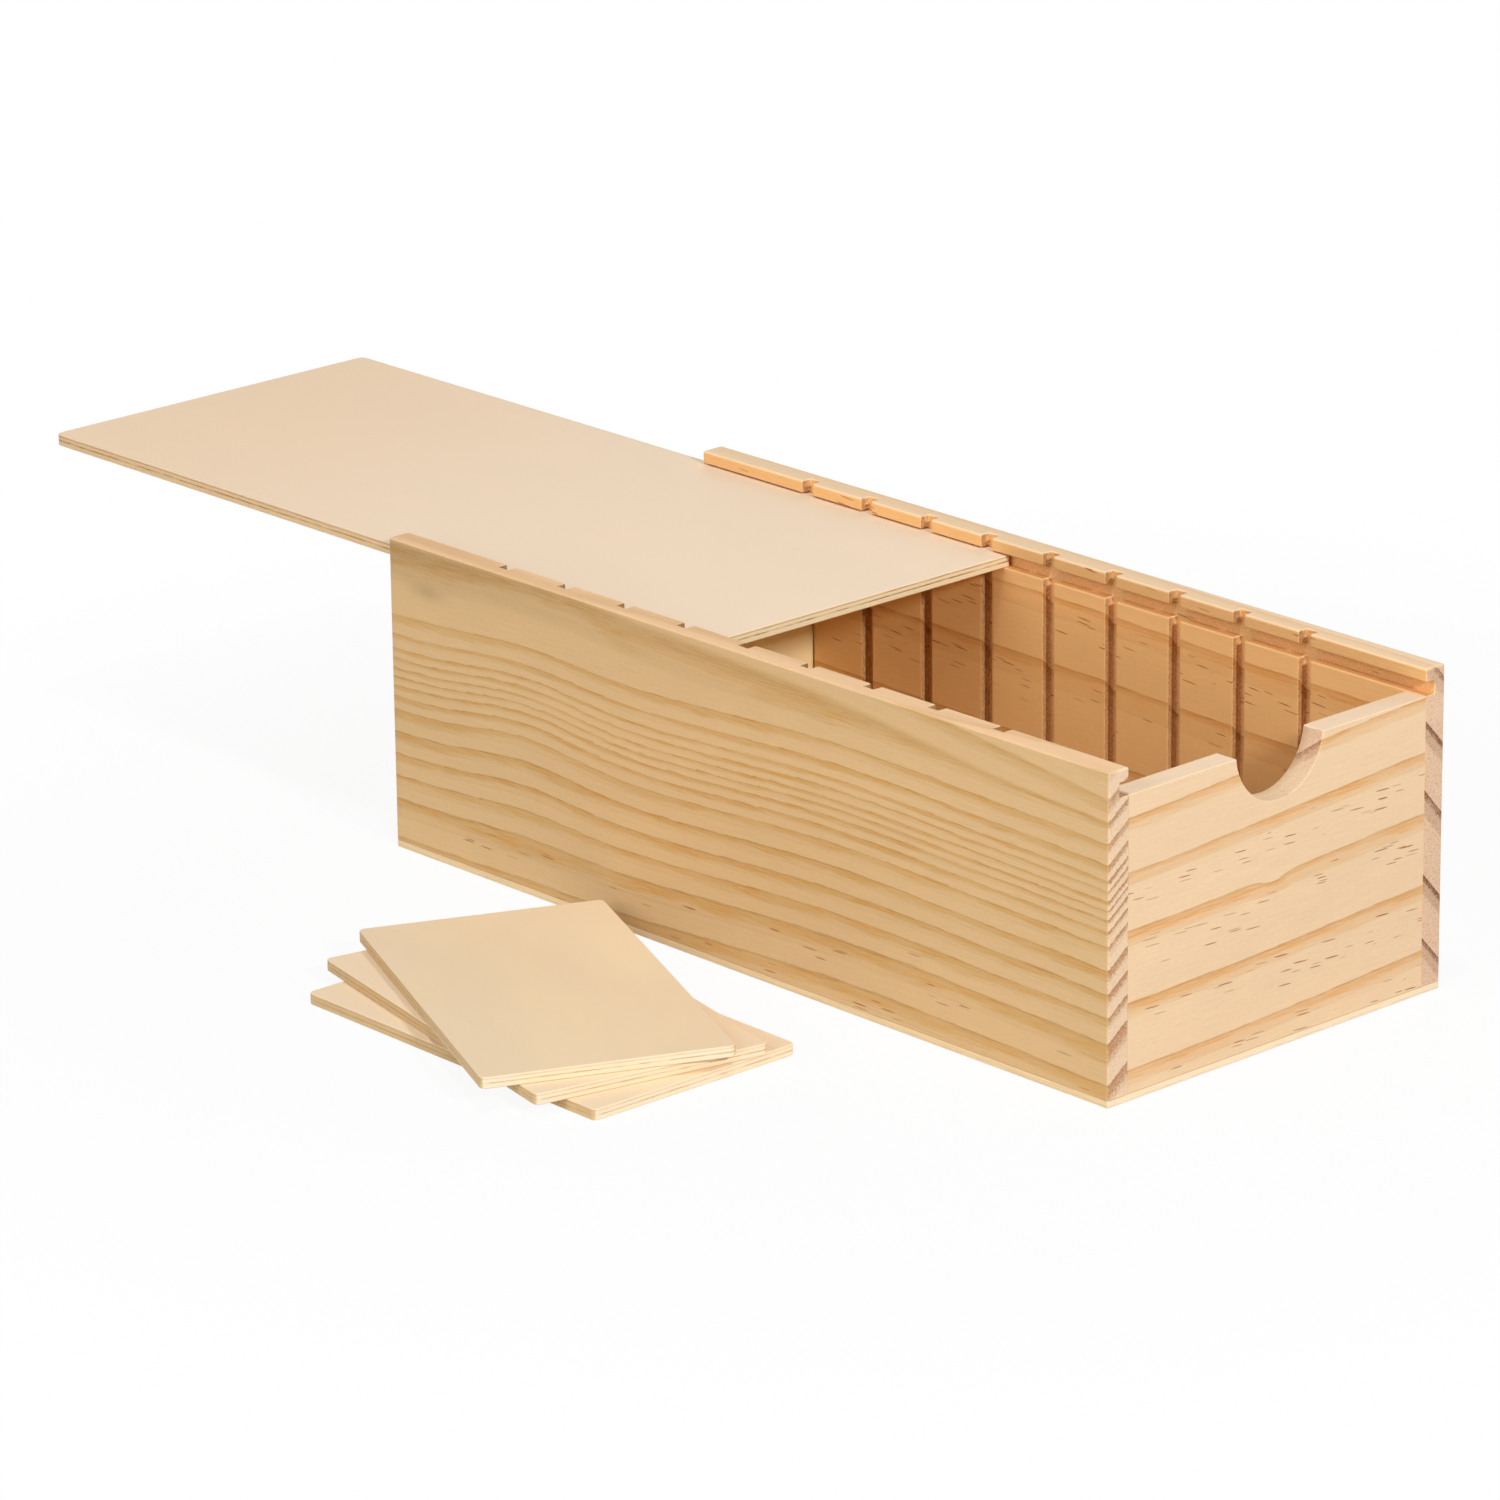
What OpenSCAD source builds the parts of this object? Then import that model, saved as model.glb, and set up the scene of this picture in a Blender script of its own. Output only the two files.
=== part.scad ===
// Index card box: a long pine box with a plywood lid that slides in grooves,
// and loose plywood dividers that drop into slots in the side boards.
// Millimetres. The origin is the middle of the bottom panel's underside.
// X runs across the box, Y along it with the finger notch at the -Y end, and Z up.

/* [Box] */
// Outside width, across both side boards
box_w = 175; // [140:1:230]
// Outside length, along the side boards
box_l = 392; // [260:1:480]
// Height of the side boards' top edge above the underside
box_h = 127; // [110:1:180]
// Thickness of a side board
side_t = 10; // [8:0.5:16]
// Thickness of an end board
end_t = 10; // [6:0.5:20]
// Thickness of the bottom panel
bottom_t = 3; // [2:0.5:8]
// Width of the flat eased along the outer edges of the boards
ease = 0.8; // [0.2:0.1:1.5]

/* [Grooves] */
// Height of the lip left above the lid groove
lip_h = 5; // [3:0.5:10]
// Depth of the lid grooves and the divider slots into the side boards
groove_d = 4.5; // [2.5:0.1:6]
// Play of the lid in its groove, upwards
lid_play = 0.7; // [0.4:0.1:3]
// Gap between a panel's edge and the floor of its groove, at each side
panel_gap = 0.3; // [0.2:0.1:1]

/* [Lid] */
// Thickness of the lid
lid_t = 4.8; // [3:0.1:8]
// How far each end of the closed lid stops short of the box's end
lid_inset = 1.25; // [0:0.25:5]
// How far the lid is drawn back from closed
lid_out = 218.5; // [0:0.5:390]
// Radius of the lid's corners
lid_corner_r = 3; // [1:0.5:10]

/* [Divider slots] */
// Distance from one slot to the next
slot_pitch = 33.7; // [15:0.1:60]
// Least distance from an end board to the middle of the nearest slot
slot_margin = 45; // [20:1:80]
// Play of a divider in its slot, along the box
slot_play = 1.1; // [0.5:0.1:4]

/* [Finger notch] */
// Radius of the notch in the front end board
notch_r = 22.5; // [10:0.5:35]
// Height of the notch's centre above the board's top edge
notch_rise = 2; // [0:0.5:8]

/* [Dividers] */
// Height of a divider as it stands in the box
divider_h = 96.5; // [60:0.5:110]
// Thickness of a divider
divider_t = 4.5; // [2:0.1:6]
// Radius of a divider's corners
divider_corner_r = 2.5; // [1:0.5:10]

/* [Stack of loose dividers] */
// Gap between the box and the nearest corner of the stack
stack_gap = 8; // [1:0.5:40]
// Place of the upper divider's middle along the box
stack_y = 12; // [-80:0.5:80]
// Slip of each divider across the box from the upper one, lowest first
fan_x = [-4.5, -2, 0]; // [-20:0.5:20]
// Slip of each divider along the box from the upper one, lowest first
fan_y = [-8, -2, 0]; // [-20:0.5:20]
// Turn of each divider about the vertical, lowest first
fan_turn = [-1, -12.5, -24.5]; // [-45:0.5:45]

/* [Hidden] */
$fn = 96;

// Overshoot of every cut past the wood it cuts
cut = 1;
inner_w = box_w - 2 * side_t;
inner_l = box_l - 2 * end_t;
groove_h = lid_t + lid_play;
// The lid lies on the groove floor, level with the top of both end boards
seat_z = box_h - lip_h - groove_h;
// Lid and dividers are cut to one width, from groove floor to groove floor
panel_w = inner_w + 2 * (groove_d - panel_gap);
lid_l = box_l - 2 * lid_inset;

slot_w = divider_t + slot_play;
slot_count = floor((inner_l - 2 * slot_margin) / slot_pitch) + 1;
slot_first = -slot_pitch * (slot_count - 1) / 2;
slot_places = [for (i = [0 : slot_count - 1]) slot_first + i * slot_pitch];
// The standing divider is pushed back in the rearmost slot, with this share of the play left behind it
play_behind = 0.1;
standing_y = slot_places[slot_count - 1] + slot_play * (0.5 - play_behind);

// How far a divider at this turn reaches from its middle, across the box
function reach(turn) =
    (divider_h / 2 - divider_corner_r) * cos(turn)
    + (panel_w / 2 - divider_corner_r) * abs(sin(turn))
    + divider_corner_r;
// The divider that comes nearest to the box sets the place of the whole stack
stack_reach = max([for (i = [0 : len(fan_turn) - 1]) reach(fan_turn[i]) + fan_x[i]]);
stack_x = -(box_w / 2 + stack_gap + stack_reach);

// A board's end view, with both top edges eased
module eased_section(thick, low, high) {
    polygon([
        [0, low],
        [thick, low],
        [thick, high - ease],
        [thick - ease, high],
        [ease, high],
        [0, high - ease],
    ]);
}

// A side board from above, with the two outer corners eased
module eased_plan(thick, long) {
    polygon([
        [0, -long / 2],
        [thick - ease, -long / 2],
        [thick, -long / 2 + ease],
        [thick, long / 2 - ease],
        [thick - ease, long / 2],
        [0, long / 2],
    ]);
}

// A flat panel with round corners, its underside at z = 0
module plate(wide, long, thick, r) {
    linear_extrude(thick) {
        square([wide - 2 * r, long], center = true);
        square([wide, long - 2 * r], center = true);
        for (sx = [-1, 1], sy = [-1, 1])
            translate([sx * (wide / 2 - r), sy * (long / 2 - r)])
                circle(r);
    }
}

// The right-hand side board, its inner face towards -X
module side_board() {
    translate([inner_w / 2, 0, 0])
        difference() {
            intersection() {
                rotate([90, 0, 0])
                    linear_extrude(box_l, center = true)
                        eased_section(side_t, bottom_t, box_h);
                linear_extrude(box_h)
                    eased_plan(side_t, box_l);
            }
            // The lid groove runs out through both ends
            translate([-cut, -box_l / 2 - cut, seat_z])
                cube([groove_d + cut, box_l + 2 * cut, groove_h]);
            // The slots run from the bottom panel out through the top edge
            for (y = slot_places)
                translate([-cut, y - slot_w / 2, bottom_t - cut])
                    cube([groove_d + cut, slot_w, box_h]);
        }
}

// An end board between the side boards, its outer face at y = 0
module end_board() {
    rotate([90, 0, 90])
        linear_extrude(inner_w, center = true)
            eased_section(end_t, bottom_t, seat_z);
}

module side_left() {
    color("burlywood")
        mirror([1, 0, 0])
            side_board();
}

module side_right() {
    color("burlywood")
        side_board();
}

module front_end() {
    color("wheat")
        translate([0, -box_l / 2, 0])
            difference() {
                end_board();
                translate([0, -cut, seat_z + notch_rise])
                    rotate([-90, 0, 0])
                        cylinder(r = notch_r, h = end_t + 2 * cut);
            }
}

module back_end() {
    color("wheat")
        translate([0, box_l / 2 - end_t, 0])
            end_board();
}

module bottom() {
    color("moccasin")
        plate(box_w, box_l, bottom_t, ease);
}

module lid() {
    color("bisque")
        translate([0, lid_out, seat_z])
            plate(panel_w, lid_l, lid_t, lid_corner_r);
}

// A divider standing on the bottom panel, in the rearmost pair of slots
module divider_standing() {
    color("navajowhite")
        translate([0, standing_y + divider_t / 2, bottom_t + divider_h / 2])
            rotate([90, 0, 0])
                plate(panel_w, divider_h, divider_t, divider_corner_r);
}

// A loose divider lying flat, counted up from the floor
module loose_divider(level) {
    color("navajowhite")
        translate([stack_x + fan_x[level], stack_y + fan_y[level], level * divider_t])
            rotate(fan_turn[level])
                plate(divider_h, panel_w, divider_t, divider_corner_r);
}

module divider_lower() {
    loose_divider(0);
}

module divider_middle() {
    loose_divider(1);
}

module divider_upper() {
    loose_divider(2);
}

side_left();
side_right();
front_end();
back_end();
bottom();
lid();
divider_standing();
divider_lower();
divider_middle();
divider_upper();
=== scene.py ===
import math
from itertools import product

import bmesh
import bpy
from bpy.props import FloatProperty, FloatVectorProperty, IntProperty, PointerProperty
from mathutils import Matrix, Vector, noise


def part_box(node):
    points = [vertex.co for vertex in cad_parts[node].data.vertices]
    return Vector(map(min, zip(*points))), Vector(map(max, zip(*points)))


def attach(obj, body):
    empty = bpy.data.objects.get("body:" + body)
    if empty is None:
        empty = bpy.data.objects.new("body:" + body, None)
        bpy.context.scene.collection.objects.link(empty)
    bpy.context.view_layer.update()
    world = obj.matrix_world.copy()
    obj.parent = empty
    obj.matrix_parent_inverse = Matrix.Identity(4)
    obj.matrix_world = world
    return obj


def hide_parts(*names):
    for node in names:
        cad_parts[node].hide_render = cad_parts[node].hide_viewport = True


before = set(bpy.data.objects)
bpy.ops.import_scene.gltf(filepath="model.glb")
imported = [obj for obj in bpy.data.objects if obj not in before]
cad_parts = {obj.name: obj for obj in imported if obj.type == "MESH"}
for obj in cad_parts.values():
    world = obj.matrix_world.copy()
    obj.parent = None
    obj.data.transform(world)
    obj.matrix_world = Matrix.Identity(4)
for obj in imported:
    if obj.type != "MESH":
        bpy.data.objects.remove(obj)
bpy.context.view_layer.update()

bl_info = {
    "name": "Index card box",
    "version": (1, 0, 0),
    "blender": (4, 5, 0),
    "location": "3D View > Sidebar > Card Box",
    "description": "Makes a pine card box with a sliding plywood lid and loose dividers",
    "category": "Add Mesh",
}

MM = 0.001
PER_MM = 1000.0
# Height of the bump on each kind of wood, in metres
PINE_RELIEF = 0.00012
PLY_RELIEF = 0.00008
# Specular level of bare wood
WOOD_SHEEN = 0.28
# Tint of the redder parts of the dark ring bands
REDDISH = (1.0, 0.9, 0.72, 1.0)
# How strongly each cut surface shows the cutter's marks, and the painted shade that darkens it towards
# the board's inner face
GROOVE_MARKS_AND_SHADE = 0.45
SLOT_WALL_MARKS_AND_SHADE = 1.0
SLOT_FLOOR_MARKS_AND_SHADE = 0.4
NOTCH_MARKS_AND_SHADE = 0.4
# How far below a board's top its top colour starts and is full, in millimetres
TOP_BAND = (1.5, 1.0)
# How far outside a slot's floor the painted highlight on rounded edges starts and is full, in
# millimetres
INNER_BAND = (2.0, 1.0)
# Ring edge softness and tone where the rings sag near a board's top
SAG_CRISP = 0.12
SAG_TONE = 0.75
# Up spread, in millimetres, of a swell that reaches over a board's whole height
FULL_HEIGHT = 400.0
# Heights, in millimetres above every board, that leave the resin dashes everywhere
NO_END = (200.0, 300.0)
# Spans, in millimetres off the ends of the panels with them, that leave all their veneer plain or warm;
# all warm is painted light, brighter and warmer to stand in for the bounce light in the shade under the
# lid
ALL_PLAIN = (300.0, 400.0)
ALL_WARM_PAINTED_LIGHT = (-300.0, -100.0)
# Where the noise that wears each side board starts
WEAR_SEEDS = {"side_left": Vector((3.0, 7.0, 1.0)), "side_right": Vector((11.0, 2.0, 5.0))}
# Fineness of the meshes
BEVEL_STEPS = 3
CORNER_STEPS = 8
NOTCH_STEPS = 40
BOARD_ROWS = 10
# Room that the meshes leave beside each cut edge for its rounding
EDGE_ROOM = 1.3 * MM
# Share of the slot pitch from a slot to the cuts that keep the faces between slots short
MIDDLE_SHARE = 0.28
# An edge that turns by more than this is a corner
SHARP_TURN = math.radians(30)
# Point that every lamp faces, in metres
LAMP_TARGET = Vector((0.0, 0.0, 0.06))


def screen_colour(red, green, blue):
    """A colour given in 0 to 255 steps as on a screen, as linear red, green and blue."""
    shares = [step / 255 for step in (red, green, blue)]
    return [s / 12.92 if s <= 0.04045 else ((s + 0.055) / 1.055) ** 2.4 for s in shares]


def length(name, description, millimetres):
    """A property for a length, with its default in millimetres."""
    return FloatProperty(
        name=name,
        description=description,
        default=millimetres * MM,
        min=0.0,
        precision=5,
        unit="LENGTH",
    )


def angle(name, description, degrees):
    """A property for an angle, with its default in degrees."""
    return FloatProperty(
        name=name,
        description=description,
        default=math.radians(degrees),
        unit="ROTATION",
    )


def power(name, description, watts):
    """A property for a lamp's power, with its default in watts."""
    return FloatProperty(
        name=name,
        description=description,
        default=watts,
        min=0.0,
        unit="POWER",
    )


def colour(name, description, red, green, blue):
    """A property for a colour, with its default in 0 to 255 steps."""
    return FloatVectorProperty(
        name=name,
        description=description,
        default=screen_colour(red, green, blue),
        min=0.0,
        max=1.0,
        subtype="COLOR",
    )


class BoardSizes(bpy.types.PropertyGroup):
    """Sizes of what is cut into the pine boards"""

    groove_depth: length("Groove depth", "Depth of the lid grooves and the divider slots", 4.5)
    lip_height: length("Lip height", "Height of the lip above the lid groove", 5.0)
    slot_count: IntProperty(
        name="Slots",
        description="Divider slots in each side board",
        default=9,
        min=1,
    )
    slot_pitch: length("Slot pitch", "Distance from one slot to the next", 33.7)
    slot_width: length("Slot width", "Width of a divider slot along the board", 5.6)
    notch_radius: length("Notch radius", "Radius of the finger notch", 22.5)
    notch_rise: length("Notch rise", "Height of the notch's centre above the board", 2.0)
    edge_round: length("Edge rounding", "Radius on the outer edges of the side boards", 0.8)
    end_round: length("End board rounding", "Radius on the edges of the end boards", 0.5)
    arris_round: length("Slot edge rounding", "Radius on the edges of slots and grooves", 0.45)
    joint_round: length("Joint rounding", "Radius where two boards meet flush", 0.2)
    chip_size: length("Chip size", "Deepest splinter torn from a corner of the lip", 0.4)


class PanelSizes(bpy.types.PropertyGroup):
    """Sizes of the plywood panels"""

    lid_corner: length("Lid corner", "Radius of the lid's corners", 3.0)
    lid_lift: length("Lid lift", "How far the warped lid's left edge stands off its groove", 0.6)
    divider_height: length("Divider height", "Height of a divider as it stands in the box", 96.5)
    divider_corner: length("Divider corner", "Radius of a divider's corners", 2.5)
    bottom_corner: length("Bottom corner", "Radius of the bottom panel's corners", 0.8)
    rim_round: length("Rim rounding", "Radius along the panels' sanded rims", 0.45)
    lower_turn: angle("Lower turn", "Turn of the lower divider about the vertical", -1.0)
    middle_turn: angle("Middle turn", "Turn of the middle divider about the vertical", -12.5)
    upper_turn: angle("Upper turn", "Turn of the upper divider about the vertical", -24.5)


class WoodColours(bpy.types.PropertyGroup):
    """Colours of the bare wood"""

    side_early: colour("Side earlywood", "Pale wood of the left side board", 221, 184, 133)
    side_late: colour("Side latewood", "Dark ring bands of the left side board", 206, 160, 94)
    # The right board's wood is warmer and more saturated than the left's: its own tone, with painted
    # warm light on its inner wall
    right_early_and_warm_light: colour("Right earlywood", "Pale wood of the right side board", 245, 192, 128)
    right_late_and_warm_light: colour("Right latewood", "Dark ring bands of the right side board", 225, 162, 94)
    end_early: colour("End board earlywood", "Pale wood of the end boards", 233, 201, 162)
    end_late: colour("End board latewood", "Dark ring bands of the end boards", 218, 163, 98)
    side_top: colour("Side top", "Pale wood along the top of the left side board", 238, 197, 152)
    right_top: colour("Right top", "Top edge of the right side board", 240, 209, 170)
    end_top: colour("End board top", "Pale wood along the top of the end boards", 238, 210, 178)
    cross_early: colour("End grain earlywood", "Pale wood where a board is cut across", 231, 200, 167)
    cross_late: colour("End grain latewood", "Ring bands where a board is cut across", 186, 136, 94)
    notch_early: colour("Notch earlywood", "Pale wood at the sides of the finger notch", 230, 193, 158)
    notch_late: colour("Notch latewood", "Ring bands at the sides of the finger notch", 184, 136, 98)
    brown_early: colour("Brown end grain", "Pale wood at the ends of the right board", 224, 188, 156)
    brown_late: colour("Brown end grain, late", "Ring bands at the ends of the right board", 132, 82, 50)
    resin: colour("Resin", "Short resin streaks", 150, 74, 16)
    # These two tints darken the cut surfaces towards the board's inner face: painted shade on the slots,
    # the lid groove and the finger notch
    slot: colour("Slot", "Tint deep in a slot, burnished by the cutter", 249, 252, 254)
    slot_mouth_shade: colour("Slot mouth", "Tint near the mouth of a slot", 203, 189, 174)
    bottom_face: colour("Bottom veneer", "Face veneer of the bottom panel", 222, 192, 150)
    lid_face: colour("Lid veneer", "Face veneer of the lid", 245, 221, 192)
    lid_warm: colour("Lid veneer, warm", "Warmer veneer towards the back of the lid", 247, 217, 183)
    lid_side: colour("Lid side edge", "Tan layers along the lid's sides", 230, 196, 150)
    lid_edge: colour("Lid end edge", "Cream layers at the lid's ends", 255, 234, 192)
    divider_face: colour("Divider veneer", "Face veneer of the dividers", 234, 211, 178)
    divider_pale: colour("Divider veneer, pale", "Face veneer of the lower dividers", 240, 216, 183)
    # Warm patches on every divider, and over the whole standing divider painted light for the bounce
    # light in the shade under the lid
    divider_warm_and_painted_light: colour("Divider veneer, warm", "Warmer veneer on the dividers", 255, 232, 178)
    divider_side: colour("Divider side edge", "Tan layers along the dividers' sides", 218, 185, 136)
    bottom_side: colour("Bottom side edge", "Layers along the bottom panel's sides", 238, 210, 164)
    ply_edge: colour("Ply edge", "Cream layers at a panel's ends", 248, 226, 193)
    ply_line: colour("Glue line", "Thin dark lines between the layers", 178, 128, 76)


class StageLook(bpy.types.PropertyGroup):
    """Camera and light"""

    view_azimuth: angle("View azimuth", "Camera's turn round the box", -42.564)
    view_elevation: angle("View elevation", "Camera's height as an angle", 18.943)
    view_roll: angle("View roll", "Camera's tilt about its own axis", -0.671)
    view_distance: length("View distance", "Distance from the camera to its target", 2941.9)
    view_target: FloatVectorProperty(
        name="View target",
        description="Point at the middle of the picture",
        default=(-0.02879, 0.05453, 0.06029),
        subtype="XYZ",
        unit="LENGTH",
    )
    lens: FloatProperty(
        name="Lens",
        description="Focal length in millimetres on a sensor 36 mm wide",
        default=184.72,
        min=1.0,
    )
    fill: FloatProperty(
        name="Fill",
        description="Brightness of the even light from all round",
        default=0.15,
        min=0.0,
    )
    top_power: power("Top light", "Power of the soft box overhead", 20.0)
    front_power: power("Front light", "Power of the soft box in front of the finger notch", 31.0)
    left_power: power("Left light", "Power of the large soft box on the left", 13.2)
    back_power: power("Back light", "Power of the soft box behind the box on the right", 12.0)
    floor_colour: colour("Floor", "Pale floor that the box stands on", 235, 235, 235)
    floor_white: FloatProperty(
        name="Floor white",
        description="Share of plain white that the camera sees in the floor beside the box",
        default=0.92,
        min=0.0,
        max=1.0,
    )


class Wiring:
    """Short ways to add nodes to one node tree and to join them."""

    def __init__(self, tree):
        self.tree = tree

    def node(self, kind, **settings):
        """A new node with its settings."""
        made = self.tree.nodes.new(kind)
        for name, value in settings.items():
            setattr(made, name, value)
        return made

    def feed(self, socket, value):
        """Links a socket to another one, or sets it to a plain value."""
        if isinstance(value, bpy.types.NodeSocket):
            self.tree.links.new(value, socket)
        elif value is not None:
            socket.default_value = value

    def math(self, operation, *values, clamp=False):
        """The result of a Math node."""
        made = self.node("ShaderNodeMath", operation=operation, use_clamp=clamp)
        for socket, value in zip(made.inputs, values):
            self.feed(socket, value)
        return made.outputs[0]

    def add(self, *values):
        """The sum of several values."""
        total = values[0]
        for value in values[1:]:
            total = self.math("ADD", total, value)
        return total

    def times(self, *values):
        """The product of several values."""
        result = values[0]
        for value in values[1:]:
            result = self.math("MULTIPLY", result, value)
        return result

    def rest(self, value):
        """What is left of 1 above a value."""
        return self.math("SUBTRACT", 1.0, value)

    def swing(self, value, *widths):
        """A value from 0 to 1 as a swing either side of 0, times each width."""
        return self.times(self.add(value, -0.5), *widths)

    def stretch(self, vector, scale, offset=(0.0, 0.0, 0.0)):
        """A vector with each part scaled, then moved."""
        made = self.node("ShaderNodeVectorMath", operation="MULTIPLY_ADD")
        self.feed(made.inputs[0], vector)
        self.feed(made.inputs[1], scale)
        self.feed(made.inputs[2], offset)
        return made.outputs[0]

    def parts(self, vector):
        """The three parts of a vector."""
        made = self.node("ShaderNodeSeparateXYZ")
        self.feed(made.inputs[0], vector)
        return made.outputs[0], made.outputs[1], made.outputs[2]

    def step(self, value, low, high, start=0.0, end=1.0):
        """A smooth step from start to end as value goes from low to high."""
        made = self.node("ShaderNodeMapRange", interpolation_type="SMOOTHSTEP")
        for socket, given in zip(made.inputs, (value, low, high, start, end)):
            self.feed(socket, given)
        return made.outputs[0]

    def fall(self, value, low, high):
        """A smooth step from 1 to 0 as value goes from low to high."""
        return self.step(value, low, high, 1.0, 0.0)

    def scale_to(self, value, start, end):
        """A value from 0 to 1 as a value from start to end."""
        made = self.node("ShaderNodeMapRange")
        for socket, given in zip(made.inputs, (value, 0.0, 1.0, start, end)):
            self.feed(socket, given)
        return made.outputs[0]

    def cloud(self, vector, detail=2.0, roughness=0.5):
        """Soft noise from 0 to 1 at a scale of one per unit."""
        made = self.node("ShaderNodeTexNoise")
        self.feed(made.inputs["Vector"], vector)
        made.inputs["Scale"].default_value = 1.0
        made.inputs["Detail"].default_value = detail
        made.inputs["Roughness"].default_value = roughness
        return made.outputs[0]

    def ridge(self, value, centre, half):
        """1 where a value is near a centre, fading out at half a width from it."""
        away = self.math("ABSOLUTE", self.math("SUBTRACT", value, centre))
        return self.fall(self.math("DIVIDE", away, half), 0.35, 1.0)

    def cells(self, vector):
        """A flat Voronoi pattern's distance and random colour at a scale of one per unit."""
        made = self.node("ShaderNodeTexVoronoi", voronoi_dimensions="2D")
        self.feed(made.inputs["Vector"], vector)
        made.inputs["Scale"].default_value = 1.0
        return made.outputs["Distance"], made.outputs["Color"]

    def chance(self, value):
        """A random value from 0 to 1 for each whole number."""
        made = self.node("ShaderNodeTexWhiteNoise", noise_dimensions="1D")
        self.feed(made.inputs["W"], value)
        return made.outputs["Value"]

    def blend(self, share, first, second, how="MIX"):
        """Two colours mixed."""
        made = self.node("ShaderNodeMix", data_type="RGBA", blend_type=how)
        self.feed(made.inputs[0], share)
        self.feed(made.inputs[6], first)
        self.feed(made.inputs[7], second)
        return made.outputs[2]

    def tint(self, colour_in, brightness):
        """A colour made brighter or darker by a value."""
        made = self.node("ShaderNodeVectorMath", operation="SCALE")
        self.feed(made.inputs[0], colour_in)
        self.feed(made.inputs["Scale"], brightness)
        return made.outputs[0]

    def group(self, tree, **values):
        """A node group placed with its values, named with _ for each space."""
        made = self.node("ShaderNodeGroup", node_tree=tree)
        for name, value in values.items():
            self.feed(made.inputs[name.replace("_", " ").title()], value)
        return made.outputs


def rgba(property_colour):
    """A colour property with a full alpha."""
    return (*property_colour, 1.0)


SOCKETS = {
    "value": "NodeSocketFloat",
    "vector": "NodeSocketVector",
    "colour": "NodeSocketColor",
}


def new_group(name, inputs, outputs):
    """An empty node group with named sockets, its wiring, its inputs and its exit node."""
    tree = bpy.data.node_groups.new(name, "ShaderNodeTree")
    for label, kind in inputs.items():
        tree.interface.new_socket(label, in_out="INPUT", socket_type=SOCKETS[kind])
    for label, kind in outputs.items():
        tree.interface.new_socket(label, in_out="OUTPUT", socket_type=SOCKETS[kind])
    wiring = Wiring(tree)
    entry = wiring.node("NodeGroupInput").outputs
    leave = wiring.node("NodeGroupOutput").inputs
    return tree, wiring, entry, leave


# In the groups that follow, places are in millimetres, and a stretch gives a pattern's
# waves per millimetre through a board, along it and up it, and then where the pattern starts


def grain_swell_group():
    """A smooth hump that lifts the growth rings round one place on a board."""
    tree, w, entry, leave = new_group(
        "Grain swell",
        {
            "Place": "vector",
            "Along": "value",
            "Along Spread": "value",
            "Up": "value",
            "Up Spread": "value",
            "Lift": "value",
        },
        {"Rise": "value"},
    )
    _, along, up = w.parts(entry["Place"])
    far_along = w.math("DIVIDE", w.math("SUBTRACT", along, entry["Along"]), entry["Along Spread"])
    far_up = w.math("DIVIDE", w.math("SUBTRACT", up, entry["Up"]), entry["Up Spread"])
    square = w.add(w.times(far_along, far_along), w.times(far_up, far_up))
    falling = w.math("EXPONENT", w.times(square, -1.0))
    w.feed(leave["Rise"], w.times(falling, entry["Lift"]))
    return tree


def grain_wander_group():
    """How far a ring strays from its smooth course: a slow drift and a ragged edge."""
    tree, w, entry, leave = new_group(
        "Grain wander",
        {"Place": "vector", "Drift": "value", "Ragged": "value"},
        {"Rise": "value"},
    )
    drift = w.cloud(w.stretch(entry["Place"], (0.012, 0.009, 0.012)), 1.0)
    ragged = w.cloud(w.stretch(entry["Place"], (0.9, 0.07, 0.9)), 3.0, 0.6)
    w.feed(leave["Rise"], w.add(w.swing(drift, entry["Drift"]), w.swing(ragged, entry["Ragged"])))
    return tree


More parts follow.
